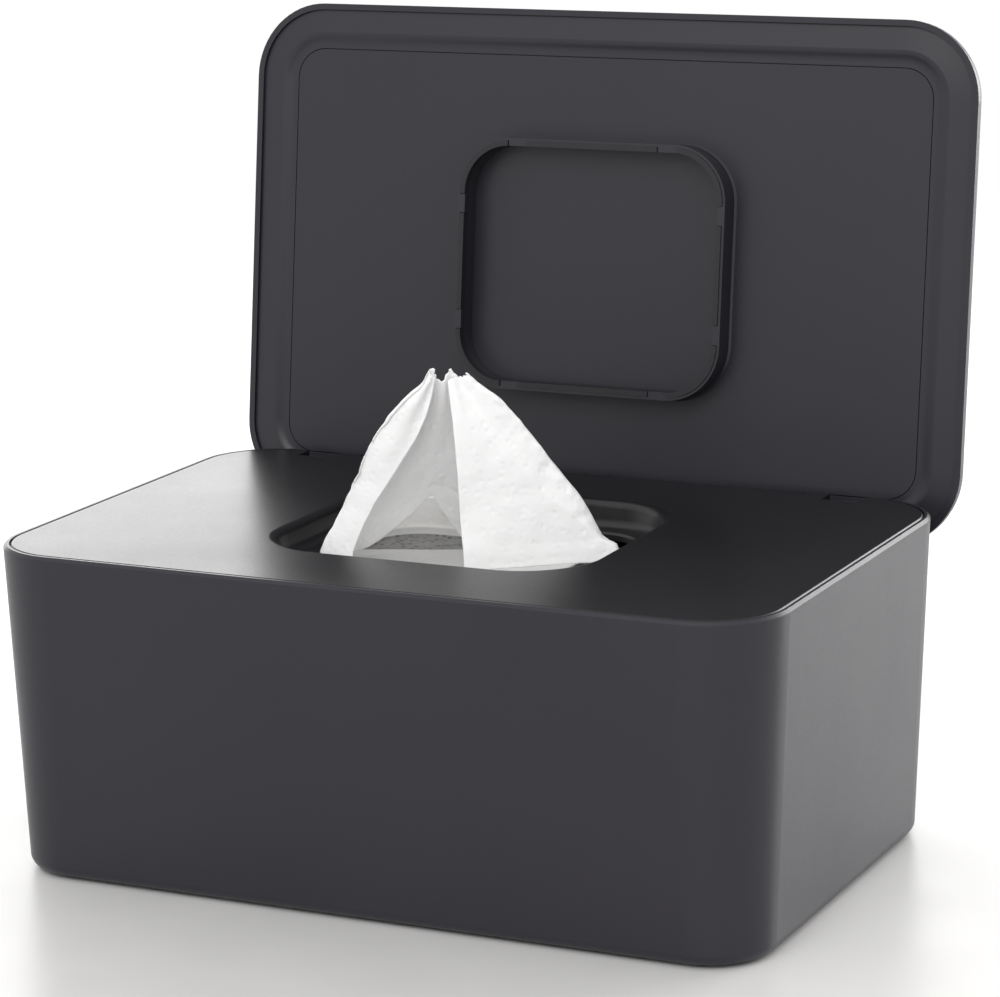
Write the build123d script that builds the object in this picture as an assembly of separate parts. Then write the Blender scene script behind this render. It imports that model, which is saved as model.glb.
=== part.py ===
from build123d import *
import math
import os

# Countertop wipes dispenser: a drafted tub, an inner cover with a recessed dispensing
# opening, and a hinged lid that stands open behind it.  Millimetres, +Z up, +X to the
# right, +Y to the rear.  Pieces are drawn with the lid shut and the tub centred on the
# Z axis.  The lid is then swung open, and all pieces move along Y together, so that the
# origin lies on the table under the middle of the open dispenser.

# ---------------------------------------------------------------- driving dimensions
box_width = 195.0
box_depth = 127.2
corner_radius = 19.0
side_draft = 2.4  # degrees

# tub
tub_height = 78.4
tub_wall = 2.2
tub_floor = 2.4
bottom_edge_radius = 3.0
rim_lip = 1.4
rim_edge_chamfer = 0.7
cut_past = 1.0  # how far a cutter runs past a face
underside_recess = 0.8
underside_margin = 9.0

# anti-slip pads
foot_radius = 5.0
foot_stand = 0.6
foot_from_corner = 8.0

# inner cover
cover_plate = 2.4
cover_gap = 0.25
cover_edge_chamfer = 0.4
skirt_wall = 1.6
skirt_depth = 7.0
skirt_gap = 0.4
recess_slope = 1.8
recess_rearward = 0.8
recess_wall = 1.8
recess_edge_radius = 2.2
recess_foot_radius = 2.6
ring_room = 2.4
opening_edge_chamfer = 0.5
rib_wall = 1.2
rib_depth = 5.0
rib_spacing = 24.0

# hinge
hinge_from_side = 26.0
hinge_inset = 4.2
hinge_drop = 7.9
open_lean = 7.0  # degrees past upright
pin_radius = 1.25
pin_fit = 0.01
pin_play = 0.05
pin_end_recess = 0.3
ear_radius = 2.4
ear_width = 6.4
ear_clearance = 1.6
bracket_cheek = 5.8
bracket_clearance = 0.3
bracket_wall = 1.4
stop_web = 2.4
stop_gap = 0.3

# lid
lid_height = 7.8
lid_gap = 0.5
lid_edge_radius = 6.6
lid_wall = 1.5
lid_top_wall = 1.8
lid_inner_chamfer = 3.0
frame_fit = 0.05
frame_wall = 1.7
frame_flange = 2.1
border_tilt = 0.7
border_crest = 7.2
border_foot = 10.4
panel_recess = 0.8
panel_inset = 11.4
panel_gap = 0.2
panel_thickness = 2.0
panel_seat = 3.4

# ring wall and gasket
ring_width = 72.4
ring_length = 63.0
ring_radius = 14.0
ring_wall = 2.0
ring_height = 5.9
ring_skin = 0.7
ring_foot_chamfer = 0.5
seal_height = 2.4
seal_proud = 0.35
seal_gap = 0.3
tab_length = 4.7
tab_height = 1.2
tab_fit = 0.15
tab_spread_x = 40.4
tab_spread_y = 29.2

# wipes
stack_width = 162.0
stack_length = 98.0
stack_edge_radius = 4.0
stack_top_drop = 13.1
wipe_fold_drop = 9.3
wipe_fold_width = 58.0
wipe_fold_length = 38.0
wipe_fold_rear = 27.0
wipe_free_edge = 12.0
wipe_layers = 3
wipe_ply = 1.0
soft_gap = 0.3

# pulled wipe: plan points where it leaves the opening, from one free edge to the other
wipe_free_edge_foot = (3.0, -8.0)
wipe_right_corner = (28.5, 18.0)
wipe_right_round = (27.5, 20.8)
wipe_rear = (8.5, 23.5)
wipe_rear_left = (-13.0, 14.0)
wipe_left_corner = (-33.2, -11.5)
wipe_flap_edge = (-25.5, -10.0)
tent_ply = 0.9
tent_rise = 37.6
tent_shoulder = 26.0
tent_neck = 33.5
shoulder_scale = 0.39
neck_scale = 0.2
neck_ply = 0.35
tip_x = -5.8
tip_scale = 0.06
tip_overlap = 0.9
arch_place = 0.15
arch_rise = 14.0
arch_left_reach = 17.0
arch_right_reach = 8.5
arch_hollow = 0.45
arch_cut_depth = 2.5

# ---------------------------------------------------------------- derived sizes
rim_z = foot_stand + tub_height
draft_inset = tub_height * math.tan(math.radians(side_draft))
hinge_y = box_depth / 2 - hinge_inset
hinge_z = rim_z - hinge_drop
hinge_axis = Axis((0, hinge_y, hinge_z), (1, 0, 0))
open_turn = 90 + open_lean
ear_slot = ear_width + 2 * ear_clearance
bracket_width = ear_slot + 2 * bracket_cheek
lid_z = rim_z + lid_gap
panel_z = lid_z + panel_recess
seal_tip = ring_height + seal_proud
recess_depth = seal_tip - lid_gap + seal_gap
ledge_z = rim_z - recess_depth
stack_top = rim_z - stack_top_drop
wipe_base = rim_z - wipe_fold_drop
slot_front = hinge_y - ear_radius - stop_gap
tip = Vector(tip_x, 0)
hinge_side = box_width / 2 - hinge_from_side
hinge_sides = (-hinge_side, hinge_side)
recess_half_width = ring_width / 2 + ring_room + recess_slope


def outline(inset):
    """The dispenser's plan outline, moved inwards by an inset."""
    return RectangleRounded(box_width - 2 * inset, box_depth - 2 * inset, corner_radius - inset)


def slab(sketch, bottom, height):
    """A straight-sided block on a plan sketch."""
    return extrude(Pos(0, 0, bottom) * sketch, amount=height, dir=(0, 0, 1))


def band(outer, inner, bottom, height):
    """A straight-sided ring between two plan sketches."""
    return slab(outer - inner, bottom, height)


def level_edges(part, height, tolerance=0.01):
    """All edges of a part that lie level at one height."""
    return part.edges().filter_by_position(Axis.Z, height - tolerance, height + tolerance)


def widest_level_face(part, height, tolerance=0.01):
    """The largest flat face of a part at one height."""
    faces = part.faces().filter_by(Axis.Z)
    return faces.filter_by_position(Axis.Z, height - tolerance, height + tolerance).sort_by(SortBy.AREA)[-1]


# ---------------------------------------------------------------- tub and feet
def make_tub():
    body = extrude(Pos(0, 0, rim_z) * outline(0), amount=-tub_height, taper=side_draft)
    body = fillet(level_edges(body, foot_stand), bottom_edge_radius)
    body = chamfer(level_edges(body, rim_z), rim_edge_chamfer)
    cavity_height = tub_height - tub_floor
    cavity = extrude(Pos(0, 0, rim_z) * outline(tub_wall), amount=-cavity_height, taper=side_draft)
    body -= cavity
    body -= slab(outline(rim_lip), rim_z - cover_plate, cover_plate)
    body -= slab(outline(underside_margin), foot_stand, underside_recess)
    for side in hinge_sides:
        body -= bracket_block(side, bracket_clearance, box_depth / 2 + cut_past)
    return body


def foot_places():
    """Middles of the four pads, inside the corners of the underside's recess."""
    reach_x = box_width / 2 - draft_inset - underside_margin - foot_from_corner
    reach_y = box_depth / 2 - draft_inset - underside_margin - foot_from_corner
    names = ("front_left", "front_right", "rear_left", "rear_right")
    signs = ((-1, -1), (1, -1), (-1, 1), (1, 1))
    return {name: (sx * reach_x, sy * reach_y) for name, (sx, sy) in zip(names, signs)}


def make_foot(x, y):
    height = foot_stand + underside_recess
    return Pos(x, y, 0) * Cylinder(foot_radius, height, align=(Align.CENTER, Align.CENTER, Align.MIN))


# ---------------------------------------------------------------- inner cover
def bracket_floor():
    """Underside of the stop web, below the ear in its open place."""
    lean = math.radians(open_lean)
    ear_bottom = hinge_z - hinge_inset * math.sin(lean) - ear_radius / math.cos(lean)
    return ear_bottom - stop_gap - stop_web


def bracket_block(side, grow, rear):
    """A hinge bracket's block in the rear wall, or the wall's cut-out for it."""
    front = slot_front - bracket_wall
    bottom = bracket_floor() - grow
    width = bracket_width + 2 * grow
    block = Box(width, rear - front, rim_z - bottom, align=(Align.CENTER, Align.MIN, Align.MIN))
    return Pos(side, front, bottom) * block


def ear_slot_cut(side):
    """The slot that a lid ear swings in, open at the top and at the rear."""
    bottom = bracket_floor() + stop_web
    length = box_depth / 2 - slot_front
    height = rim_z - bottom + cut_past
    slot = Box(ear_slot, length, height, align=(Align.CENTER, Align.MIN, Align.MIN))
    return Pos(side, slot_front, bottom) * slot


def recess_plug(grow, depth):
    """The recess as a solid plug with sloped sides, grown by a wall for its outer side."""
    slope = math.degrees(math.atan(recess_slope / recess_depth))
    top = Pos(0, recess_rearward, rim_z) * ring_outline(-ring_room - recess_slope - grow)
    return extrude(top, amount=-depth, taper=slope)


def make_skirt():
    """Locating walls under the deck's straight sides, with the three pairs of ribs that stiffen it."""
    drop = cover_plate + skirt_depth
    inset = tub_wall + skirt_gap + drop * math.tan(math.radians(side_draft)) + skirt_wall / 2
    reach_x = box_width / 2 - inset
    reach_y = box_depth / 2 - inset
    top = (Align.CENTER, Align.CENTER, Align.MAX)
    side_wall = Box(skirt_wall, box_depth - 2 * corner_radius, skirt_depth, align=top)
    long_wall = Box(box_width - 2 * corner_radius, skirt_wall, skirt_depth, align=top)
    start = recess_half_width
    rib = Box(reach_x - start, rib_wall, rib_depth, align=top)
    walls = [Pos(side * reach_x, 0) * side_wall for side in (-1, 1)]
    walls += [Pos(0, side * reach_y) * long_wall for side in (-1, 1)]
    for row in (-rib_spacing, 0, rib_spacing):
        walls += [Pos(side * (start + reach_x) / 2, row) * rib for side in (-1, 1)]
    return [Pos(0, 0, rim_z - cover_plate) * wall for wall in walls]


def make_inner_cover():
    cover = slab(outline(rim_lip + cover_gap), rim_z - cover_plate, cover_plate)
    cover = chamfer(level_edges(cover, rim_z), cover_edge_chamfer)
    for wall in make_skirt():
        cover += wall
    cover += recess_plug(recess_wall, recess_depth + recess_wall)
    cover -= recess_plug(0, recess_depth)
    cover = fillet(widest_level_face(cover, ledge_z).outer_wire().edges(), recess_foot_radius)
    cover -= slab(ring_outline(ring_wall), ledge_z - recess_wall, recess_wall)
    cover = chamfer(widest_level_face(cover, ledge_z).inner_wires()[0].edges(), opening_edge_chamfer)
    cover = fillet(widest_level_face(cover, rim_z).inner_wires()[0].edges(), recess_edge_radius)
    for side in hinge_sides:
        cover += bracket_block(side, 0, box_depth / 2 - rim_edge_chamfer)
        cover -= ear_slot_cut(side)
        cover -= pin_rod(side, pin_radius + pin_fit, bracket_width)
    return cover


# ---------------------------------------------------------------- hinge
def pin_rod(side, radius, length):
    return Pos(side, hinge_y, hinge_z) * Rot(0, 90, 0) * Cylinder(radius, length)


def make_pin(side):
    return pin_rod(side, pin_radius, bracket_width - 2 * pin_end_recess)


def make_ear(side):
    """A lid ear with the lid shut: a barrel round the pin and a straight shank above it."""
    top = lid_z + frame_wall
    barrel = Pos(side, hinge_y, hinge_z) * Rot(0, 90, 0) * Cylinder(ear_radius, ear_width)
    shank = Box(
        ear_width, 2 * ear_radius, top - hinge_z, align=(Align.CENTER, Align.CENTER, Align.MIN)
    )
    return barrel + Pos(side, hinge_y, hinge_z) * shank


# ---------------------------------------------------------------- lid, drawn shut
def make_lid_cover():
    shell = slab(outline(0), lid_z, lid_height)
    shell = fillet(level_edges(shell, lid_z + lid_height), lid_edge_radius)
    inside = slab(outline(lid_wall), lid_z, lid_height - lid_top_wall)
    return shell - chamfer(level_edges(inside, lid_z + lid_height - lid_top_wall), lid_inner_chamfer)


def frame_profile():
    """Section of the lid frame: X is the inset from the outline, Y the height in the lid."""
    start = lid_wall + frame_fit
    seat = panel_inset + panel_seat
    step = panel_recess + panel_thickness
    middle = ((border_crest + border_foot) / 2, panel_recess / 2)
    crest = Line((start, border_tilt), (border_crest, 0))
    fall = TangentArc((border_crest, 0), middle, tangent=(1, 0))
    foot = TangentArc((border_foot, panel_recess), middle, tangent=(-1, 0))
    strip = [(border_foot, panel_recess), (panel_inset, panel_recess)]
    back = [(panel_inset, step), (seat, step), (seat, step + frame_wall)]
    over = [(border_crest, frame_flange), (start, frame_flange), (start, border_tilt)]
    return crest, fall, foot, Polyline(strip + back + over)


def make_lid_frame():
    """The frame's section swept round the outline, with the two ears added below it."""
    section = make_face(Curve() + list(frame_profile()))
    path = outline(0).wire()
    start = path @ 0
    inward = Vector(0, 0, 1).cross(path % 0)
    if inward.dot(start) > 0:
        inward = -inward
    plane = Plane(origin=start, x_dir=inward, z_dir=inward.cross(Vector(0, 0, 1)))
    frame = Pos(0, 0, lid_z) * sweep(plane * section, path=path)
    for side in hinge_sides:
        frame += make_ear(side)
        frame -= pin_rod(side, pin_radius + pin_play, ear_width)
    return frame


def ring_outline(shrink):
    """The ring wall's plan outline, moved inwards by a shrink."""
    return RectangleRounded(ring_width - 2 * shrink, ring_length - 2 * shrink, ring_radius - shrink)


def tab_places():
    """Plan middles of the eight tabs' outer sides, and whether each is on the left or right."""
    half_x = tab_spread_x / 2
    half_y = tab_spread_y / 2
    places = [(sx * half_x, sy * ring_length / 2, False) for sx in (-1, 1) for sy in (-1, 1)]
    places += [(sx * ring_width / 2, sy * half_y, True) for sx in (-1, 1) for sy in (-1, 1)]
    return places


def tab_block(place, tip_height, grow):
    """A tab across the ring's gasket seat, or the gasket's pocket for it, down to a tip height."""
    x, y, on_side = place
    depth = ring_wall - ring_skin / 2
    inward = ring_wall - depth / 2
    length = tab_length + 2 * grow
    height = tip_height - ring_height + tab_height + grow
    size = (depth, length) if on_side else (length, depth)
    centre_x = x - math.copysign(inward, x) if on_side else x
    centre_y = y if on_side else y - math.copysign(inward, y)
    block = Box(size[0], size[1], height, align=(Align.CENTER, Align.CENTER, Align.MIN))
    return Pos(centre_x, centre_y, lid_z - tip_height) * block


def make_lid_panel():
    """The liner plate with its ring wall, the gasket's seat and the eight tabs."""
    panel = slab(outline(panel_inset + panel_gap), panel_z, panel_thickness)
    panel += band(ring_outline(0), ring_outline(ring_wall), lid_z - ring_height, ring_height + panel_recess)
    panel = chamfer(widest_level_face(panel, panel_z).inner_wires()[0].edges(), ring_foot_chamfer)
    seat_depth = seal_height - seal_proud
    panel -= band(ring_outline(ring_skin), ring_outline(ring_wall), lid_z - ring_height, seat_depth)
    for place in tab_places():
        panel += tab_block(place, ring_height, 0)
    return panel


def make_seal_ring():
    seal = band(ring_outline(ring_skin), ring_outline(ring_wall), lid_z - seal_tip, seal_height)
    for place in tab_places():
        seal -= tab_block(place, seal_tip, tab_fit)
    return seal


# ---------------------------------------------------------------- wipes
def make_stack():
    floor = foot_stand + tub_floor
    stack = Box(stack_width, stack_length, stack_top - floor, align=(Align.CENTER, Align.CENTER, Align.MIN))
    stack = Pos(0, 0, floor) * stack
    return fillet(stack.edges().filter_by(Axis.Z), stack_edge_radius)


def make_next_wipe():
    """A folded wipe: one ply that runs back and forth, with round folds at its ends."""
    pitch = (stack_top_drop - wipe_fold_drop - soft_gap - wipe_ply) / (wipe_layers - 1)
    low = stack_top + soft_gap + wipe_ply / 2
    front = wipe_fold_rear - wipe_fold_length
    runs = []
    for layer in range(wipe_layers):
        height = low + layer * pitch
        ends = (wipe_fold_rear - pitch, front + pitch)
        start, finish = ends if layer % 2 == 0 else ends[::-1]
        if layer == wipe_layers - 1:
            finish = wipe_free_edge
        runs.append(Line((start, height), (finish, height)))
        if layer < wipe_layers - 1:
            bulge = (finish + math.copysign(pitch / 2, finish - start), height + pitch / 2)
            runs.append(ThreePointArc((finish, height), bulge, (finish, height + pitch)))
    ply = (Curve() + runs).wire().offset_2d(wipe_ply / 2, side=Side.BOTH)
    return Pos(tip_x, 0, 0) * extrude(Plane.YZ * make_face(ply), amount=wipe_fold_width / 2, both=True)


def tent_line(scale):
    """Plan of the pulled wipe, drawn in towards its tip by a scale."""
    right = [wipe_free_edge_foot, wipe_right_corner, wipe_right_round, wipe_rear]
    left = [wipe_rear_left, wipe_left_corner, wipe_flap_edge]
    return [tip + (Vector(*point) - tip) * scale for point in right + left]


def strip_ring(scale, ply, height):
    """Corners of a thin level strip along the wipe's plan line, mitred where it turns."""
    points = tent_line(scale)
    ahead = [(b - a).normalized() for a, b in zip(points, points[1:])]
    outer = []
    inner = []
    for point, first, second in zip(points, ahead[:1] + ahead, ahead + ahead[-1:]):
        middle = (first + second).normalized()
        side = Vector(-middle.Y, middle.X) * (ply / 2) / middle.dot(second)
        outer.append(point + side + Vector(0, 0, height))
        inner.append(point - side + Vector(0, 0, height))
    return outer + inner[::-1]


def tip_ring(scale, height):
    """Corners of the gathered tip's outline, where all plies come together."""
    free_edge, right, _, rear, _, left, _ = tent_line(scale)
    return [Vector(corner.X, corner.Y, height) for corner in (free_edge, right, rear, left)]


def flat_sided(rings):
    """A solid through level rings of corners whose matching sides are parallel."""
    faces = [Face(Wire.make_polygon(rings[0])), Face(Wire.make_polygon(rings[-1]))]
    for low, high in zip(rings, rings[1:]):
        for here, there in zip(range(len(low)), [*range(1, len(low)), 0]):
            side = [low[here], low[there], high[there], high[here]]
            faces.append(Face(Wire.make_polygon(side)))
    return Solid(Shell(faces))


def make_pulled_wipe():
    """The wipe's folded sheet as a standing strip that narrows to the gathered tip."""
    base = wipe_base + soft_gap
    neck = rim_z + tent_neck
    foot_ring = strip_ring(1.0, tent_ply, base)
    shoulder_ring = strip_ring(shoulder_scale, tent_ply, rim_z + tent_shoulder)
    neck_ring = strip_ring(neck_scale, neck_ply, neck)
    tent = flat_sided([foot_ring, shoulder_ring, neck_ring])
    knot = flat_sided([tip_ring(neck_scale, neck - tip_overlap), tip_ring(tip_scale, rim_z + tent_rise)])
    return tent + knot - arch_cut(base)


def arch_cut(base):
    """The arch under the rear ply, where the wipe's lower edge lifts between its corners."""
    rear_left, left = tent_line(1.0)[4:6]
    middle = rear_left + (left - rear_left) * arch_place
    shoulder = tip + (middle - tip) * shoulder_scale
    along = (rear_left - left).normalized()
    lean = Vector(shoulder.X - middle.X, shoulder.Y - middle.Y, rim_z + tent_shoulder - base)
    plane = Plane(origin=(middle.X, middle.Y, base), x_dir=along, z_dir=along.cross(lean))
    crown = (0, arch_rise)
    left_foot = (-arch_left_reach, -cut_past)
    right_foot = (arch_right_reach, -cut_past)
    left_middle = (-arch_left_reach * arch_hollow, arch_rise * arch_hollow)
    right_middle = (arch_right_reach * arch_hollow, arch_rise * arch_hollow)
    left_side = ThreePointArc(left_foot, left_middle, crown)
    right_side = ThreePointArc(crown, right_middle, right_foot)
    arch = make_face(Curve() + [left_side, right_side, Line(right_foot, left_foot)])
    return extrude(plane * arch, amount=arch_cut_depth, both=True)


# ---------------------------------------------------------------- assembly
def build_all():
    parts = {
        "tub": make_tub(),
        "inner_cover": make_inner_cover(),
        "wipe_stack": make_stack(),
        "next_wipe": make_next_wipe(),
        "pulled_wipe": make_pulled_wipe(),
    }
    for name, (x, y) in foot_places().items():
        parts["foot_" + name] = make_foot(x, y)
    for name, side in zip(("left", "right"), hinge_sides):
        parts["hinge_pin_" + name] = make_pin(side)
    lid = {
        "lid_cover": make_lid_cover(),
        "lid_frame": make_lid_frame(),
        "lid_panel": make_lid_panel(),
        "seal_ring": make_seal_ring(),
    }
    for name, piece in lid.items():
        parts[name] = piece.rotate(hinge_axis, -open_turn)
    return parts


def main():
    os.makedirs("parts", exist_ok=True)
    parts = build_all()
    boxes = [piece.bounding_box() for piece in parts.values()]
    middle_y = (min(b.min.Y for b in boxes) + max(b.max.Y for b in boxes)) / 2
    for name, piece in parts.items():
        export_step(Pos(0, -middle_y, 0) * piece, "parts/" + name + ".step")
    print("tub centre y", round(-middle_y, 3))
    print("hinge y", round(hinge_y - middle_y, 3), "z", round(hinge_z, 3))
    print("rim z", round(rim_z, 3), "ledge z", round(ledge_z, 3), "stack top z", round(stack_top, 3))


main()
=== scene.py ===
import bpy
import math
import numpy as np
from mathutils import Matrix, Vector, noise


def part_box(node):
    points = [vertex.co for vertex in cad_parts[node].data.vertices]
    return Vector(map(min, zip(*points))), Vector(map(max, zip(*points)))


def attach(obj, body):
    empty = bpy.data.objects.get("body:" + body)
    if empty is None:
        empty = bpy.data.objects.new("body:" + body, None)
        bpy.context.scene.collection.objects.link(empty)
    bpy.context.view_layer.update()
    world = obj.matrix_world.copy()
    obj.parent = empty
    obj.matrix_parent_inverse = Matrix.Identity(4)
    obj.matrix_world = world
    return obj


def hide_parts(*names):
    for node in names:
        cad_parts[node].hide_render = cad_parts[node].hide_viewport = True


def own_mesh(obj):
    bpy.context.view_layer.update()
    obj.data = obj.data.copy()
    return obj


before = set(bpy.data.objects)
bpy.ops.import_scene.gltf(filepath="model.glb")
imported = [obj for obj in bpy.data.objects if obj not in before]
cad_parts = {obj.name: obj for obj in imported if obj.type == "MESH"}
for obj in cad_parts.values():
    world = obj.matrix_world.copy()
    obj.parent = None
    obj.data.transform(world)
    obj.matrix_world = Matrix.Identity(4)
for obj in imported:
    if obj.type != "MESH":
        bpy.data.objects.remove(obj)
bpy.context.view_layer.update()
scene = bpy.context.scene
for leftover in ("Cube", "Light", "Camera"):
    if leftover in bpy.data.objects:
        bpy.data.objects.remove(bpy.data.objects[leftover])

MM = 0.001
tub_low, tub_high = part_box("tub")
CENTRE_Y = (tub_low.y + tub_high.y) / 2


# ---------------------------------------------------------------- camera
# Angles in degrees, place in metres and lens in millimetres, all fitted to the photograph's edges.
CAMERA_TURN = 25.409876608461378
CAMERA_TILT = 12.816265204674533
CAMERA_ROLL = -0.984092029069448
CAMERA_PLACE = (0.37706, -0.79017, 0.28216)
CAMERA_LENS = 135.69
SENSOR_WIDTH = 36
CLIP_NEAR, CLIP_FAR = 0.01, 50


def add_camera():
    turn, tilt, roll = (math.radians(angle) for angle in (CAMERA_TURN, CAMERA_TILT, CAMERA_ROLL))
    back = Vector((
        math.sin(turn) * math.cos(tilt),
        -math.cos(turn) * math.cos(tilt),
        math.sin(tilt),
    ))
    right = Vector((math.cos(turn), math.sin(turn), 0))
    up = back.cross(right)
    x_axis = math.cos(roll) * right + math.sin(roll) * up
    y_axis = -math.sin(roll) * right + math.cos(roll) * up
    data = bpy.data.cameras.new("camera")
    data.sensor_width = SENSOR_WIDTH
    data.lens = CAMERA_LENS
    data.clip_start = CLIP_NEAR
    data.clip_end = CLIP_FAR
    camera = bpy.data.objects.new("camera", data)
    scene.collection.objects.link(camera)
    facing = Matrix((x_axis, y_axis, back)).transposed().to_4x4()
    camera.matrix_world = Matrix.Translation(CAMERA_PLACE) @ facing
    scene.camera = camera


# ---------------------------------------------------------------- materials
class Paint:
    """A node material with a few shorthands for its nodes and links."""

    def __init__(self, name):
        self.material = bpy.data.materials.new(name)
        self.material.use_nodes = True
        self.tree = self.material.node_tree
        self.shader = self.tree.nodes["Principled BSDF"]
        self.place = self.tree.nodes.new("ShaderNodeTexCoord").outputs["Object"]

    def feed(self, value, socket):
        """Links a socket, or sets a plain value."""
        if isinstance(value, bpy.types.NodeSocket):
            self.tree.links.new(value, socket)
        else:
            socket.default_value = value

    def node(self, kind, inputs, **settings):
        made = self.tree.nodes.new(kind)
        for key, value in settings.items():
            setattr(made, key, value)
        for key, value in inputs.items():
            self.feed(value, made.inputs[key])
        return made

    def join(self, value, socket):
        self.tree.links.new(value, self.shader.inputs[socket])

    def fix(self, socket, value):
        """Sets a number that is the same all over on the shader's own socket."""
        self.shader.inputs[socket].default_value = value

    def noise(self, scale, detail=3.0, roughness=0.5, stretch=(1, 1, 1)):
        mapped = self.node("ShaderNodeMapping", {"Vector": self.place, "Scale": stretch})
        inputs = {
            "Vector": mapped.outputs[0],
            "Scale": scale,
            "Detail": detail,
            "Roughness": roughness,
        }
        return self.node("ShaderNodeTexNoise", inputs).outputs["Fac"]

    def cells(self, scale, randomness=1.0):
        inputs = {"Vector": self.place, "Scale": scale, "Randomness": randomness}
        return self.node("ShaderNodeTexVoronoi", inputs).outputs["Distance"]

    def spread(self, value, low, high, start=0.3, end=0.7):
        """Maps start to end of a value onto low to high, held at both ends."""
        inputs = {0: value, 1: start, 2: end, 3: low, 4: high}
        return self.node("ShaderNodeMapRange", inputs).outputs[0]

    def mix(self, share, first, second):
        """Blends two colours by a share."""
        inputs = {"Factor": share, 6: (*first, 1), 7: (*second, 1)}
        return self.node("ShaderNodeMix", inputs, data_type="RGBA").outputs[2]

    def combine(self, first, second, operation="ADD"):
        made = self.node("ShaderNodeMath", {0: first, 1: second}, operation=operation)
        return made.outputs[0]

    def bump(self, height, distance, strength, before=None):
        inputs = {"Height": height, "Distance": distance, "Strength": strength}
        if before is not None:
            inputs["Normal"] = before
        return self.node("ShaderNodeBump", inputs).outputs["Normal"]


def moulded(name, dark, light, roughness, grain, grain_height, ior=1.49):
    """Moulded plastic: spark-eroded grain, slight flow clouding, polish that varies with handling."""
    paint = Paint(name)
    clouds = paint.noise(22, 4)
    specks = paint.noise(1900, 2)
    tone = paint.combine(paint.spread(clouds, 0.0, 0.7), paint.spread(specks, 0.0, 0.3))
    paint.join(paint.mix(tone, dark, light), "Base Color")

    wear = paint.noise(14, 5, 0.6, (1, 1, 0.5))
    fine = paint.noise(grain * 0.6, 2)
    gloss = paint.combine(paint.spread(wear, *roughness), paint.spread(fine, -0.02, 0.02))
    paint.join(gloss, "Roughness")

    pits = paint.combine(paint.noise(grain, 3, 0.6), paint.cells(grain * 0.8), "MULTIPLY")
    skin = paint.bump(pits, grain_height, 0.35)
    sink = paint.bump(paint.noise(9, 2), 0.00025, 0.25, skin)
    paint.join(sink, "Normal")
    paint.fix("IOR", ior)
    return paint.material


def pinned_steel():
    """Drawn steel of the hinge pins, with fine lines along them."""
    paint = Paint("pin_steel")
    drawn = paint.noise(900, 3, 0.6, (0.05, 1, 1))
    colour = paint.mix(paint.spread(drawn, 0, 1), (0.42, 0.42, 0.43), (0.6, 0.6, 0.61))
    paint.join(colour, "Base Color")
    paint.join(paint.spread(drawn, 0.22, 0.38), "Roughness")
    paint.join(paint.bump(drawn, 0.00002, 0.4), "Normal")
    paint.fix("Metallic", 1.0)
    return paint.material


def gasket_rubber():
    """Soft black gasket, with bloom and a little dust."""
    paint = Paint("gasket_rubber")
    bloom = paint.noise(60, 5, 0.65)
    dust = paint.noise(2600, 2)
    tone = paint.combine(paint.spread(bloom, 0, 0.6), paint.spread(dust, 0, 0.4))
    colour = paint.mix(tone, (0.0050, 0.0046, 0.0070), (0.0090, 0.0084, 0.0116))
    paint.join(colour, "Base Color")
    paint.join(paint.spread(bloom, 0.42, 0.58), "Roughness")
    paint.join(paint.bump(paint.noise(1500, 3), 0.00003, 0.4), "Normal")
    return paint.material


def foot_rubber():
    """Matt rubber of the pads under the tub."""
    paint = Paint("foot_rubber")
    bloom = paint.noise(120, 5, 0.65)
    colour = paint.mix(paint.spread(bloom, 0, 1), (0.018, 0.018, 0.019), (0.04, 0.039, 0.038))
    paint.join(colour, "Base Color")
    paint.join(paint.spread(bloom, 0.6, 0.8), "Roughness")
    paint.join(paint.bump(paint.cells(900), 0.00006, 0.5), "Normal")
    return paint.material


EMBOSS_SCALE = 480


def nonwoven(name, light, shade, bands=None):
    """Damp nonwoven cloth: matted fibres, embossed dimples and a slight tone that varies at random.

    bands lists (level in millimetres, tone) from the bottom up: painted shade, darkest on the lowest
    ply, which lies deepest."""
    paint = Paint(name)
    damp = paint.noise(70, 4, 0.6)
    fibres = paint.combine(
        paint.noise(1700, 4, 0.7, (1, 0.25, 0.25)),
        paint.noise(1700, 4, 0.7, (0.25, 0.3, 1)),
    )
    tone = paint.combine(paint.spread(damp, 0, 0.6), paint.spread(fibres, 0, 0.4, 0.8, 1.2))
    colour = paint.mix(tone, light, shade)
    # With bands, shade is painted into the colour by level.
    if bands:
        colour = paint_shade_by_level(paint, colour, bands)
    paint.join(colour, "Base Color")
    paint.join(paint.spread(damp, 0.55, 0.75), "Roughness")

    dimples = paint.spread(paint.cells(EMBOSS_SCALE), 0, 1, 0.1, 0.45)
    matted = paint.bump(fibres, 0.00006, 0.5)
    paint.join(paint.bump(dimples, 0.00022, 0.45, matted), "Normal")
    paint.fix("Subsurface Weight", 0.9)
    paint.fix("Subsurface Radius", (0.0004, 0.00039, 0.00038))
    paint.fix("Subsurface Scale", 1.0)
    return paint.material


# Between these two levels, in millimetres, the dots and veins of the lowest ply fade out.
MOTTLE_FADE = (69.0, 69.3)
# The painted shade gets a slight blue cast: its blue channel is scaled by this.
PAINTED_SHADE_BLUE = 0.985


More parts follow.
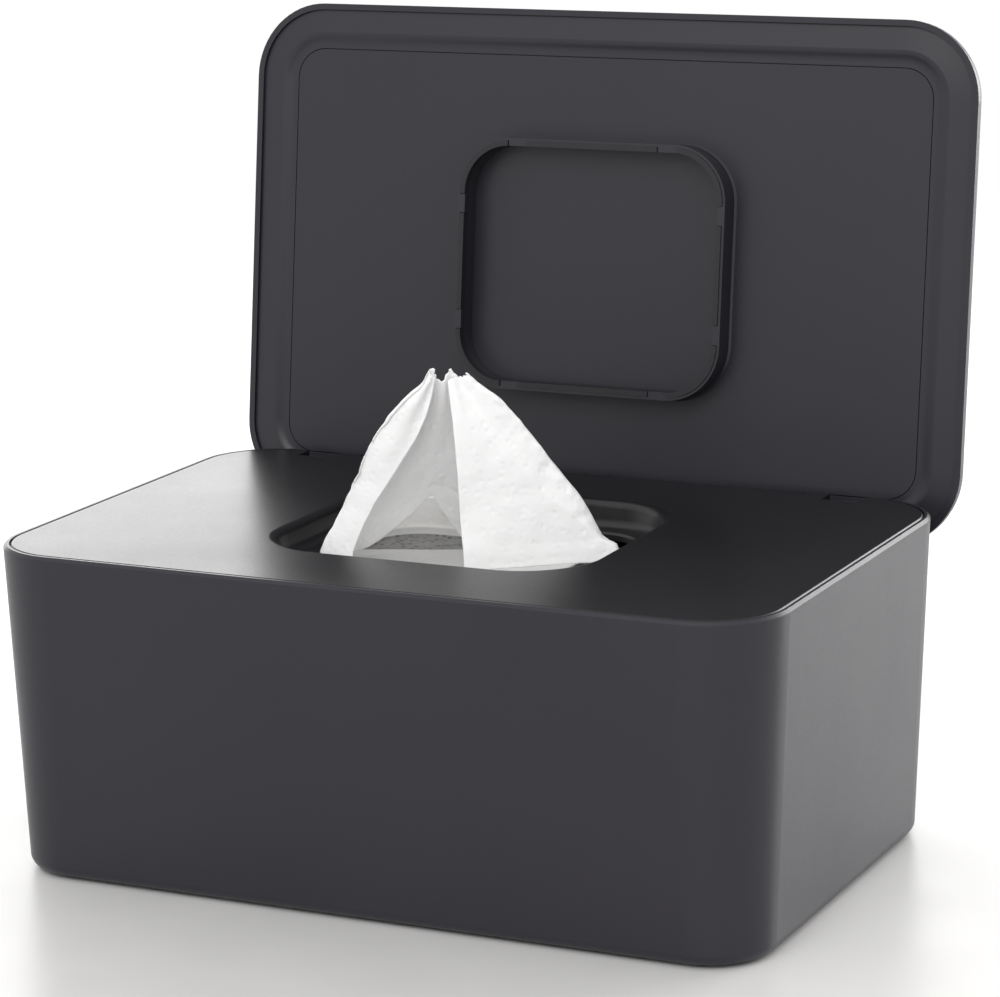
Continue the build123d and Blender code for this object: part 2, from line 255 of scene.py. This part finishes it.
def paint_shade_by_level(paint, colour, bands):
    """Paints shade into a cloth colour by its level, darker lower down, with darker dots and veins
    where it lies lowest.
    """
    low, high = bands[0][0] * MM, bands[-1][0] * MM
    level = paint.node("ShaderNodeSeparateXYZ", {0: paint.place}).outputs["Z"]
    share = paint.spread(level, 0, 1, low, high)
    ramp = paint.node("ShaderNodeValToRGB", {0: share})
    stops = ramp.color_ramp.elements
    while len(stops) < len(bands):
        stops.new(0.5)
    for stop, (z, tone) in zip(stops, bands):
        stop.position = (z * MM - low) / (high - low)
        stop.color = (tone, tone, tone * PAINTED_SHADE_BLUE, 1)

    dots = paint.spread(paint.cells(EMBOSS_SCALE, 0.6), 0.30, 1.0, 0.16, 0.32)
    veins = paint.spread(paint.noise(300, 4, 0.7), 0.55, 1.0, 0.38, 0.5)
    bare = paint.spread(level, 0, 1, *(z * MM for z in MOTTLE_FADE))
    mottle = paint.combine(paint.combine(dots, veins, "MULTIPLY"), bare, "MAXIMUM")
    inputs = {0: ramp.outputs[0], 1: colour}
    # The painted shade darkens the colour, and the dots and veins darken it further.
    shaded_colour = paint.node("ShaderNodeVectorMath", inputs, operation="MULTIPLY").outputs[0]
    inputs = {0: shaded_colour, "Scale": mottle}
    return paint.node("ShaderNodeVectorMath", inputs, operation="SCALE").outputs[0]


def dress_frame():
    """Gives every CAD node that stays visible its material, by the record's slot."""
    skins = {
        "housing": moulded(
            "housing_plastic", (0.0130, 0.0117, 0.0182), (0.0158, 0.0143, 0.0216),
            roughness=(0.33, 0.40), grain=2400, grain_height=0.00002,
        ),
        "deck": moulded(
            "deck_plastic", (0.0040, 0.0037, 0.0050), (0.0056, 0.0052, 0.0068),
            roughness=(0.31, 0.37), grain=2600, grain_height=0.000006, ior=1.52,
        ),
        "lid_inside": moulded(
            "lid_inside_plastic", (0.0145, 0.0131, 0.0192), (0.0168, 0.0153, 0.0222),
            roughness=(0.36, 0.44), grain=2200, grain_height=0.00002,
        ),
        "seal": gasket_rubber(),
        "pin": pinned_steel(),
        "pad": foot_rubber(),
    }
    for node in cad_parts.values():
        slot = node.material_slots[0].material.name.split(".")[0]
        if slot in skins:
            node.material_slots[0].material = skins[slot]


# ---------------------------------------------------------------- cloth
# Everything in this section is in millimetres, in the tub's own frame with its centre at 0, 0.
def surface(name, grid):
    """A mesh object from a grid of points (rows x columns x 3)."""
    rows, columns = grid.shape[:2]
    points = grid.reshape(-1, 3) * MM + np.array((0, CENTRE_Y, 0))
    faces = []
    for row in range(rows - 1):
        for column in range(columns - 1):
            corner = row * columns + column
            faces.append((corner, corner + 1, corner + columns + 1, corner + columns))
    mesh = bpy.data.meshes.new(name)
    mesh.from_pydata([tuple(p) for p in points], [], faces)
    mesh.shade_smooth()
    piece = bpy.data.objects.new(name, mesh)
    scene.collection.objects.link(piece)
    return piece


def thicken(piece, thickness):
    """Makes a closed ply of a surface, half of the thickness to each side."""
    modifier = piece.modifiers.new("ply", "SOLIDIFY")
    modifier.thickness = thickness * MM
    modifier.offset = 0.0
    modifier.use_even_offset = False
    with bpy.context.temp_override(object=piece, active_object=piece):
        bpy.ops.object.modifier_apply(modifier=modifier.name)
    piece.data.shade_smooth()
    return piece


def rough(x, y, z, size, seed):
    """Smooth noise from about -1 to 1, with bumps of one size."""
    return noise.noise(Vector((x / size + seed, y / size - seed, z / size)))


def bell(value, middle, width):
    return math.exp(-((value - middle) / width) ** 2)


# The pulled wipe is a tent. Its plan line runs through the rails' feet, and a place on it is
# counted in rails: 1.5 is half-way from rail 1 to rail 2. Each rail draws in towards the tip by
# its own scales, one for each of the levels.
TIP = np.array((-5.8, 0.0))
LEVELS = (70, 72.8, 75, 80, 85, 90, 95, 100, 105.5, 109.5, 113, 116.6)
RAILS = (
    ((3.0, -8.0), (0.83, 0.80, 0.77, 0.705, 0.645, 0.58, 0.505, 0.43, 0.335, 0.235, 0.16, 0.11)),
    ((28.5, 18.0), (1.07, 1.02, 0.935, 0.865, 0.785, 0.692, 0.60, 0.51, 0.395, 0.295, 0.18, 0.09)),
    ((27.5, 20.8), (1.05, 1.00, 0.93, 0.865, 0.785, 0.692, 0.60, 0.51, 0.395, 0.295, 0.18, 0.09)),
    ((8.5, 23.5), (1.0, 0.945, 0.91, 0.83, 0.745, 0.66, 0.57, 0.47, 0.35, 0.25, 0.155, 0.085)),
    ((-13.0, 14.0), (1.0, 0.945, 0.91, 0.83, 0.745, 0.66, 0.57, 0.47, 0.35, 0.25, 0.155, 0.085)),
    ((-33.2, -11.5), (1.03, 1.025, 0.995, 0.90, 0.812, 0.738, 0.665, 0.582, 0.455, 0.32, 0.19, 0.10)),
    ((-25.5, -10.0), (1.04, 1.02, 0.985, 0.885, 0.762, 0.608, 0.463, 0.315, 0.20, 0.15, 0.12, 0.09)),
)
# For each run from one rail to the next: how many columns it has, and how far it swells.
RUNS = (110, 8, 30, 40, 70, 22)
BULGES = (2.4, 0.3, 1.2, 0.8, 1.6, 0.5)
# (level, share of the first run at which its swell is largest)
RIDGE = (
    (74.3, 0.985), (77.7, 0.944), (83.1, 0.837), (90.5, 0.689), (96.7, 0.554), (102.9, 0.4), (112, 0.3),
)
# (place, level) of the arch that the lower edge leaves over the next wipe.
ARCH = (
    (3.6, 70.2), (3.76, 70.6), (3.84, 72.1), (3.91, 74.4), (4.03, 79.0), (4.09, 82.3),
    (4.13, 83.9), (4.16, 83.4), (4.2, 82.4), (4.29, 79.4), (4.41, 76.2), (4.52, 73.4),
    (4.62, 71.9), (4.74, 71.2), (5.0, 70.4), (5.3, 70.0),
)
FOOT_LEFT, FOOT_RIGHT = 69.8, 69.9
TIP_LEVEL = 116.6
SWELL_TOP, SWELL_REACH = 118, 48
PULLED_ROWS = 128
PULLED_THICKNESS = 0.4
TAIL_SIDE = np.array((34.3, 18.0)) / np.hypot(34.3, 18.0)
RIGHT_CORNER, LEFT_CORNER = 1.0, 5.0
TAIL_PLACE, TAIL_LEVEL, TAIL_LENGTH = 1.02, 73.5, 1.3
CREASE_START, CREASE_END = 3.8, 4.13
# The pleats grow from this level up and die away just below the tip.
GATHER_START, GATHER_REACH, GATHER_END, GATHER_FADE = 88, 24, 118, 7
PLEAT_DEPTH = 0.85


def rail_point(index, height):
    base, scales = RAILS[index]
    base = np.array(base)
    return TIP + (base - TIP) * np.interp(height, LEVELS, scales)


def tent_point(place, height):
    """Where the tent's face is at a place and level, and which way it faces there."""
    run = min(int(place), len(RUNS) - 1)
    share = place - run
    start = rail_point(run, height)
    end = rail_point(run + 1, height)
    along = end - start
    length = max(np.hypot(*along), 1e-6)
    outward = np.array((along[1], -along[0])) / length
    point = start + along * share
    size = np.clip((SWELL_TOP - height) / SWELL_REACH, 0, 1)
    swell = math.sin(math.pi * share)
    if run == 0:
        ridge = np.interp(height, *zip(*RIDGE))
        swell = share / ridge if share < ridge else (1 - share) / (1 - ridge)
    point = point + outward * BULGES[run] * size * swell
    return point, outward


def ragged_top(place):
    """The uneven upper edge, where the fingers gather the cloth."""
    coarse = 3.4 * max(0.1, 0.5 + rough(place * 1.3, 0, 0, 1.0, 4.2))
    return TIP_LEVEL - coarse - 0.8 * rough(place * 7, 0, 0, 1.0, 2.2)


def relief(place, height, point):
    """How far the cloth stands out of the tent's face: pleats, crumples, corner, hem and crease."""
    gather = np.clip((height - GATHER_START) / GATHER_REACH, 0, 1) ** 1.6
    gather = gather * np.clip((GATHER_END - height) / GATHER_FADE, 0.35, 1)
    phase = place * 7.3 + 1.1 * math.sin(place * 3.1) + (height - 90) * 0.012
    pleat = PLEAT_DEPTH * gather * math.sin(phase)
    coarse = 0.5 * rough(point[0], point[1], height, 10, 1.7)
    crumple = coarse + 0.2 * rough(point[0], point[1], height, 4, 8.3)
    corner = bell(place, RIGHT_CORNER, 0.16)
    pebble = 0.45 * corner * rough(point[0], point[1], height, 2.6, 3.7)
    hem = 0.25 * math.exp(-place / 0.05) * rough(0, 0, height, 5, 1.1)
    crease_level = 86.6 - (4.11 - place) * 10.6
    crease = 0.0
    if CREASE_START < place < CREASE_END:
        crease = bell(height, crease_level, 0.7)
    return pleat + crumple + pebble + hem + 0.35 * crease


def edge_shift(place, height):
    """How far the right edge runs out sideways: its little tail and its ripples."""
    corner = bell(place, RIGHT_CORNER, 0.16)
    tail = TAIL_LENGTH * bell(height, TAIL_LEVEL, 0.5) * bell(place, TAIL_PLACE, 0.045)
    coarse = 0.55 * corner * rough(0, 0, height, 2.7, 5.5)
    return tail + (coarse + 0.3 * corner * rough(0, 0, height, 1.2, 7.7))


def left_shift(place, height):
    """How far the left edge ripples."""
    coarse = 0.4 * rough(0, 0, height, 3.1, 2.9)
    return bell(place, LEFT_CORNER, 0.14) * (coarse + 0.2 * rough(0, 0, height, 1.3, 9.9))


def make_pulled_wipe():
    """The wipe that stands up out of the opening, open in an arch at its front."""
    places = [run + np.arange(count) / count for run, count in enumerate(RUNS)]
    places = np.concatenate(places + [[len(RUNS) - 1e-6]])
    grid = np.zeros((PULLED_ROWS, len(places), 3))
    for column, place in enumerate(places):
        foot = np.interp(place, *zip(*ARCH), left=FOOT_LEFT, right=FOOT_RIGHT)
        top = ragged_top(place)
        for row in range(PULLED_ROWS):
            height = foot + (top - foot) * (row / (PULLED_ROWS - 1))
            point, outward = tent_point(place, height)
            point = point + outward * relief(place, height, point)
            point = point + TAIL_SIDE * edge_shift(place, height)
            point[0] -= left_shift(place, height)
            grid[row, column] = (*point, height)
    for _ in range(2):
        grid[:, 1:-1] = 0.5 * grid[:, 1:-1] + 0.25 * (grid[:, 2:] + grid[:, :-2])
    return thicken(surface("pulled_wipe_cloth", grid), PULLED_THICKNESS)


# The line behind which the cloth may not reach: straight for this far to each side, then an arc
# of this radius with its centre at this y.
OPENING_STRAIGHT, OPENING_CORNER_Y, OPENING_CORNER_RADIUS = 22.2, 17.5, 11.3


def opening_rear(x):
    """How far back the cloth may lie in the dispensing opening at one place across it."""
    over = max(abs(x) - OPENING_STRAIGHT, 0)
    return OPENING_CORNER_Y + math.sqrt(OPENING_CORNER_RADIUS ** 2 - over ** 2)


NEXT_FOLD, NEXT_FREE_EDGE = -8.0, 9.0
NEXT_LEVEL, NEXT_PITCH = 68.5, 1.15
NEXT_THICKNESS = 0.5
NEXT_LEFT, NEXT_RIGHT, NEXT_COLUMNS = -33.3, 22.7, 110
STAND_TOP, STAND_STEP, STAND_ROWS, STAND_LEVEL = 78.55, 0.6, 13, 70.0
# (across, share of its height that the standing edge keeps there)
STAND_FALL = ((-33.3, 0.80), (-30, 1.0), (-12, 0.97), (0, 0.7), (10, 0.35), (22.7, 0.05))
# (how far in from the opening's rear, level) of the curve from the standing edge to the ply.
STAND_FOOT = ((0.25, 70.7), (0.8, 69.7), (1.8, 68.95), (3.2, 68.6))
LOWER_ROWS, FOLD_ROWS, UPPER_ROWS = 35, 5, 21


def next_wipe_rows():
    """(part, value, level) for every row: standing edge, lower ply, front fold, upper ply."""
    rows = [("stand", 0.0, STAND_TOP - STAND_STEP * k) for k in range(STAND_ROWS)]
    rows += [("stand", inset, level) for inset, level in STAND_FOOT]
    rows += [("lower", 1 - k / (LOWER_ROWS - 1), NEXT_LEVEL) for k in range(LOWER_ROWS)]
    for k in range(1, FOLD_ROWS + 1):
        angle = math.pi * k / (FOLD_ROWS + 1)
        level = NEXT_LEVEL + NEXT_PITCH / 2 - math.cos(angle) * NEXT_PITCH / 2
        rows.append(("fold", math.sin(angle) * NEXT_PITCH / 2, level))
    rows += [("upper", k / (UPPER_ROWS - 1), NEXT_LEVEL + NEXT_PITCH) for k in range(UPPER_ROWS)]
    return rows


def make_next_wipe():
    """The folded wipe under the pulled one: its rear edge stands up against the opening."""
    rows = next_wipe_rows()
    widths = np.linspace(NEXT_LEFT, NEXT_RIGHT, NEXT_COLUMNS)
    grid = np.zeros((len(rows), len(widths), 3))
    for row, (part, value, z) in enumerate(rows):
        for column, x in enumerate(widths):
            rear = opening_rear(x)
            stand = 0.0
            if part == "stand":
                y = rear - value
                stand = max(z - STAND_LEVEL, 0.0)
            elif part == "lower":
                y = NEXT_FOLD + (rear - 4.2 - NEXT_FOLD) * value
            elif part == "fold":
                y = NEXT_FOLD - value
            else:
                y = NEXT_FOLD + (NEXT_FREE_EDGE - NEXT_FOLD + 0.37 * (x + 18)) * value
            fall = np.interp(x, *zip(*STAND_FALL))
            fine = (0.05 + 0.03 * stand) * rough(x, y, z, 4, 6.1)
            wave = 0.12 * rough(x, y, z, 11, 3.1) + fine
            lean = stand * 0.05 * (1 + math.sin(x / 4.0))
            grid[row, column] = (x, y - lean, z - stand + stand * fall + wave)
    return thicken(surface("next_wipe_cloth", grid), NEXT_THICKNESS)


STACK_LOW, STACK_HIGH, STACK_LAYERS = 3.1, 65.7, 34
STACK_HALF_DEPTH, STACK_HALF_WIDTH = 48.3, 80.3
STACK_ROWS, STACK_FOLD_ROWS, STACK_COLUMNS = 13, 3, 42
# Beyond these, in depth and width, the corners round off.
STACK_CORNER_Y, STACK_CORNER_X, STACK_ROUNDING = 44, 76, 0.06
# The plies wave more and more over the last millimetres below the top.
WAVE_START, WAVE_REACH = 60, 6


def stack_rows(pitch):
    """(y, level, layer) for every row of the strip, folded back and forth."""
    rows = []
    for layer in range(STACK_LAYERS):
        level = STACK_LOW + 0.6 + layer * pitch
        side = 1 if layer % 2 == 0 else -1
        reach = STACK_HALF_DEPTH + 0.45 * rough(layer * 1.7, 0, 0, 1, 5.5)
        for k in range(STACK_ROWS):
            share = k / (STACK_ROWS - 1)
            rows.append((side * reach * (2 * share - 1), level, layer))
        if layer == STACK_LAYERS - 1:
            continue
        for k in range(1, STACK_FOLD_ROWS + 1):
            angle = math.pi * k / (STACK_FOLD_ROWS + 1)
            y = side * (reach + math.sin(angle) * pitch / 2)
            rows.append((y, level + pitch / 2 - math.cos(angle) * pitch / 2, layer))
    return rows


def make_stack():
    """The refill: one strip folded back and forth in a pile, with soft uneven folds."""
    pitch = (STACK_HIGH - STACK_LOW - 1.2) / (STACK_LAYERS - 1)
    rows = stack_rows(pitch)
    columns = np.linspace(-1, 1, STACK_COLUMNS)
    grid = np.zeros((len(rows), len(columns), 3))
    for row, (y, z, layer) in enumerate(rows):
        half = STACK_HALF_WIDTH + 0.5 * rough(layer * 2.3, 3, 0, 1, 9.5)
        top = max(z - WAVE_START, 0) / WAVE_REACH
        for column, across in enumerate(columns):
            x = across * half
            outside = max(abs(x) - STACK_CORNER_X, 0) * max(abs(y) - STACK_CORNER_Y, 0)
            corner = outside * STACK_ROUNDING
            wave = top * 0.22 * rough(x, y, 0, 16, 2.2)
            grid[row, column] = (x, y - math.copysign(corner, y), z + wave)
    return thicken(surface("wipe_stack_cloth", grid), pitch * 0.62)


# (level in millimetres, tone) of the painted shade: the lowest ply is dark, the one over it half, the
# rest light.
PAINTED_SHADE_BANDS = ((68.0, 0.20), (69.15, 0.21), (69.35, 0.56), (70.4, 0.58), (70.9, 0.92), (72.0, 0.95))


def dress_cloth():
    cloth = nonwoven("wipe_nonwoven", (0.975, 0.972, 0.972), (0.955, 0.952, 0.955))
    # The next wipe's cloth has shade painted into its colour by level, darkest on its lowest ply.
    shade_painted_cloth = nonwoven("shade_painted_nonwoven", (0.94, 0.935, 0.93), (0.90, 0.895, 0.89), PAINTED_SHADE_BANDS)
    pulled = make_pulled_wipe()
    following = make_next_wipe()
    pile = make_stack()
    for piece, node in ((pulled, "pulled_wipe"), (following, "next_wipe"), (pile, "wipe_stack")):
        piece.data.materials.append(shade_painted_cloth if piece is following else cloth)
        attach(piece, "tub")
        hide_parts(node)
    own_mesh(pulled)


# ---------------------------------------------------------------- stage
# From here on, lengths are in metres again.
FLOOR_RINGS = (0.3, 0.6, 1.2, 2.5, 6.0)
FLOOR_TURNS = 72
FADE_START, FADE_END = 0.30, 1.1
WHITE_STRENGTH = 1.0
ROOM_COLOUR, ROOM_STRENGTH = (1.0, 0.995, 0.99, 1), 0.97


def make_floor():
    """A round floor with its centre under the origin."""
    turns = FLOOR_TURNS
    angles = [2 * math.pi * k / turns for k in range(turns)]
    points = [(0, 0, 0)]
    for ring in FLOOR_RINGS:
        points += [(ring * math.cos(angle), ring * math.sin(angle), 0) for angle in angles]
    faces = []
    for k in range(turns):
        after = (k + 1) % turns
        faces.append((0, 1 + k, 1 + after))
        for ring in range(len(FLOOR_RINGS) - 1):
            inner = 1 + ring * turns
            outer = inner + turns
            faces.append((inner + k, outer + k, outer + after, inner + after))
    mesh = bpy.data.meshes.new("floor")
    mesh.from_pydata(points, [], faces)
    floor = bpy.data.objects.new("floor", mesh)
    scene.collection.objects.link(floor)
    return floor


def floor_paint():
    """A pale floor that turns into the white background away from the object."""
    paint = Paint("floor_white")
    grain = paint.noise(30, 3)
    colour = paint.mix(paint.spread(grain, 0, 1), (0.66, 0.655, 0.65), (0.68, 0.675, 0.67))
    paint.join(colour, "Base Color")
    paint.join(paint.spread(grain, 0.32, 0.39), "Roughness")
    paint.fix("IOR", 1.4)

    away = paint.node("ShaderNodeVectorMath", {0: paint.place}, operation="LENGTH").outputs["Value"]
    fade = paint.spread(away, 0, 1, FADE_START, FADE_END)
    path = paint.node("ShaderNodeLightPath", {})
    seen = paint.combine(path.outputs["Is Camera Ray"], path.outputs["Is Glossy Ray"], "MAXIMUM")
    seen = paint.combine(seen, path.outputs["Is Transmission Ray"], "MAXIMUM")
    share = paint.combine(seen, fade, "MULTIPLY")
    inputs = {"Color": (1, 1, 1, 1), "Strength": WHITE_STRENGTH}
    white = paint.node("ShaderNodeEmission", inputs).outputs[0]
    inputs = {0: share, 1: paint.shader.outputs[0], 2: white}
    blend = paint.node("ShaderNodeMixShader", inputs).outputs[0]
    paint.tree.links.new(blend, paint.tree.nodes["Material Output"].inputs["Surface"])
    return paint.material


def add_floor():
    floor = make_floor()
    floor.data.materials.append(floor_paint())


def add_world():
    """A white background for the camera, and an even room light for everything else."""
    world = bpy.data.worlds.new("studio")
    scene.world = world
    world.use_nodes = True
    tree = world.node_tree
    tree.nodes.clear()
    room = tree.nodes.new("ShaderNodeBackground")
    room.inputs["Color"].default_value = ROOM_COLOUR
    room.inputs["Strength"].default_value = ROOM_STRENGTH
    white = tree.nodes.new("ShaderNodeBackground")
    white.inputs["Strength"].default_value = WHITE_STRENGTH
    path = tree.nodes.new("ShaderNodeLightPath")
    mix = tree.nodes.new("ShaderNodeMixShader")
    out = tree.nodes.new("ShaderNodeOutputWorld")
    tree.links.new(path.outputs["Is Camera Ray"], mix.inputs[0])
    tree.links.new(room.outputs[0], mix.inputs[1])
    tree.links.new(white.outputs[0], mix.inputs[2])
    tree.links.new(mix.outputs[0], out.inputs["Surface"])


def add_softbox(name, place, target, size, radiance):
    """A soft panel whose own brightness is given, so a mirror would show it at that value."""
    width, height = size
    data = bpy.data.lights.new(name, "AREA")
    data.shape = "RECTANGLE"
    data.size = width
    data.size_y = height
    data.energy = radiance * math.pi * width * height
    panel = bpy.data.objects.new(name, data)
    scene.collection.objects.link(panel)
    panel.location = place
    facing = (Vector(target) - Vector(place)).to_track_quat("-Z", "Y")
    panel.rotation_euler = facing.to_euler()
    panel.visible_camera = False


def add_lights():
    middle = (0, CENTRE_Y, 0.06)
    add_softbox("rear_left", (-1.1, 1.5, 0.5), (-0.1, 0, 0.08), (1.7, 1.0), 2.65)
    add_softbox("rear_right", (0.75, 1.25, 0.42), (0.1, 0, 0.05), (0.9, 0.84), 5.9)
    add_softbox("key", (0.2, -1.5, 1.3), middle, (1.4, 1.0), 3.2)


add_camera()
dress_frame()
dress_cloth()
add_floor()
add_world()
add_lights()
scene.view_settings.view_transform = "Standard"
